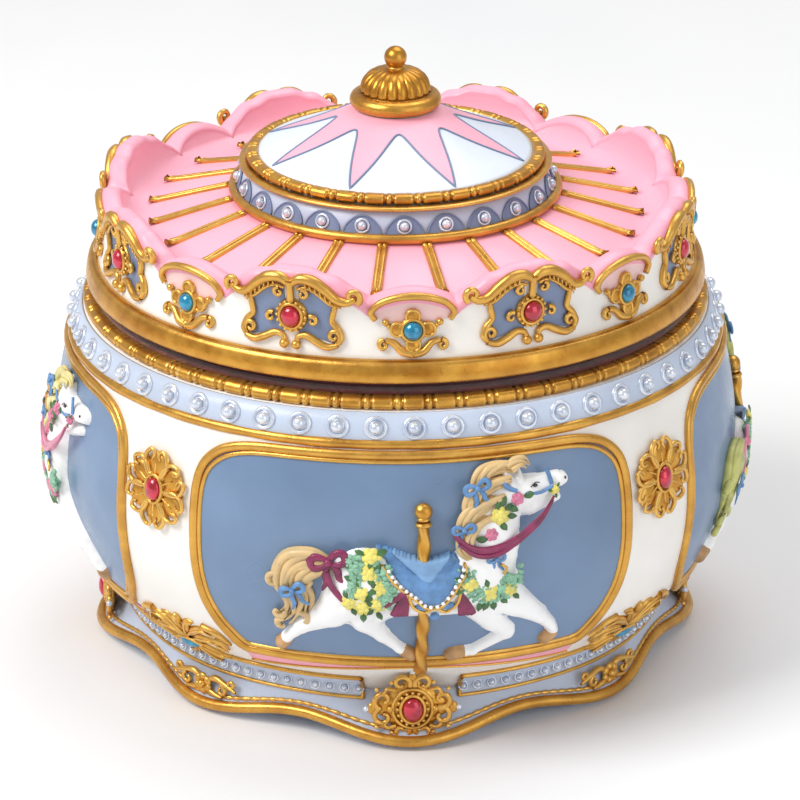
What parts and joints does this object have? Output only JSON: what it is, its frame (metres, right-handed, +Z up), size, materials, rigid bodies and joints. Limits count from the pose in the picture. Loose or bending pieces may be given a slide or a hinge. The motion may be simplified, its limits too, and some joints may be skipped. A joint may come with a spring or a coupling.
{
  "type": "carousel music box",
  "caption": "Round resin trinket box shaped as a carousel, with relief horses, jewelled gold trim, a hinged canopy lid and a key-wound musical movement under its tray.",
  "frame": {"origin": "centre of the underside, on the surface the box stands on", "axes": "+Z up along the axis of the box, -Y towards the front panel, +Y towards the hinge"},
  "size_m": [0.1654, 0.1654, 0.1403],
  "materials": {
    "cream_resin": "satin painted resin: cream, periwinkle, pink and pale blue fields",
    "gold_paint": "antique gold paint, semi-gloss",
    "pearl_paint": "pearlescent silver white",
    "horse_paint": "hand-painted white with colours, satin",
    "red_stone": "polished cabochon",
    "blue_stone": "polished cabochon",
    "flock_lining": "flocked dark maroon",
    "felt": "felt",
    "brass": "machined",
    "steel": "machined",
    "bottom_board": "matt"
  },
  "bodies": {
    "case": {"case_shell": "cream_resin", "case_rim": "gold_paint", "waist_ring": "gold_paint", "rim_pearls": "pearl_paint", "rim_pearl_bezels": "pearl_paint", "panel_frames": "gold_paint", "pilaster_flowers": "gold_paint", "pilaster_leaves": "gold_paint", "pilaster_leaf_stones": "blue_stone", "case_red_stones": "red_stone", "horse_front": "horse_paint", "horse_right": "horse_paint", "horse_back": "horse_paint", "horse_left": "horse_paint", "carousel_poles": "gold_paint", "base_plinth": "cream_resin", "base_edge_trim": "gold_paint", "belt_pearls": "pearl_paint", "base_medallions": "gold_paint", "base_scrolls": "gold_paint", "felt_feet": "felt", "tray_liner": "flock_lining", "rod_tube": "brass", "hinge_leaf_case": "brass", "hinge_pin": "brass", "bottom_plate": "bottom_board", "bottom_screws": "steel", "bedplate": "brass", "cylinder_bearing": "brass", "governor_plate": "brass", "end_plate": "brass", "fan_bearing": "brass", "comb": "steel", "comb_base": "brass", "comb_screws": "steel"},
    "lid": {"canopy": "cream_resin", "crown_band": "gold_paint", "red_cartouches": "gold_paint", "blue_cartouches": "gold_paint", "crown_red_stones": "red_stone", "crown_blue_stones": "blue_stone", "canopy_ribs": "gold_paint", "drum_rings": "gold_paint", "disc_rim": "gold_paint", "drum_pearls": "pearl_paint", "top_disc": "cream_resin", "finial": "gold_paint", "finial_stud": "steel", "lid_lining": "flock_lining", "hinge_leaf_lid": "brass"},
    "start_pin": {"start_rod": "steel"},
    "key": {"winding_key": "steel", "winding_arbor": "steel"},
    "barrel": {"spring_barrel": "brass", "mainspring": "steel"},
    "cylinder": {"pinned_cylinder": "brass", "cylinder_staff": "steel", "cylinder_gears": "brass"},
    "idler": {"idler_gear": "brass"},
    "fan": {"governor_fan": "brass"}
  },
  "joints": [
    {"name": "lid_hinge", "type": "hinge", "parent": "case", "child": "lid", "pos_m": [0, 0.073, 0.0859], "axis": [-1, 0, 0], "range_deg": [0, 95]},
    {"name": "start_pin_slide", "type": "slide", "parent": "case", "child": "start_pin", "axis": [0, 0, 1], "range_m": [0, 0.003]},
    {"name": "key_wind", "type": "hinge", "parent": "case", "child": "key", "pos_m": [0, 0, 0.005], "axis": [0, 0, -1], "continuous": true},
    {"name": "barrel_turn", "type": "hinge", "parent": "case", "child": "barrel", "pos_m": [0, 0, 0.019], "axis": [0, 0, 1], "continuous": true},
    {"name": "cylinder_turn", "type": "hinge", "parent": "case", "child": "cylinder", "pos_m": [0.02, 0, 0.02867], "axis": [1, 0, 0], "continuous": true},
    {"name": "idler_turn", "type": "hinge", "parent": "case", "child": "idler", "pos_m": [0.036, 0.008, 0.02267], "axis": [1, 0, 0], "continuous": true},
    {"name": "fan_turn", "type": "hinge", "parent": "case", "child": "fan", "pos_m": [0.03, 0.015, 0.02267], "axis": [1, 0, 0], "continuous": true}
  ],
  "couplings": [
    {"joint": "start_pin_slide", "follows": "lid_hinge", "m_per_rad": 0.0018},
    {"joint": "cylinder_turn", "follows": "barrel_turn", "ratio": 3},
    {"joint": "idler_turn", "follows": "barrel_turn", "ratio": -12},
    {"joint": "fan_turn", "follows": "barrel_turn", "ratio": 36}
  ]
}
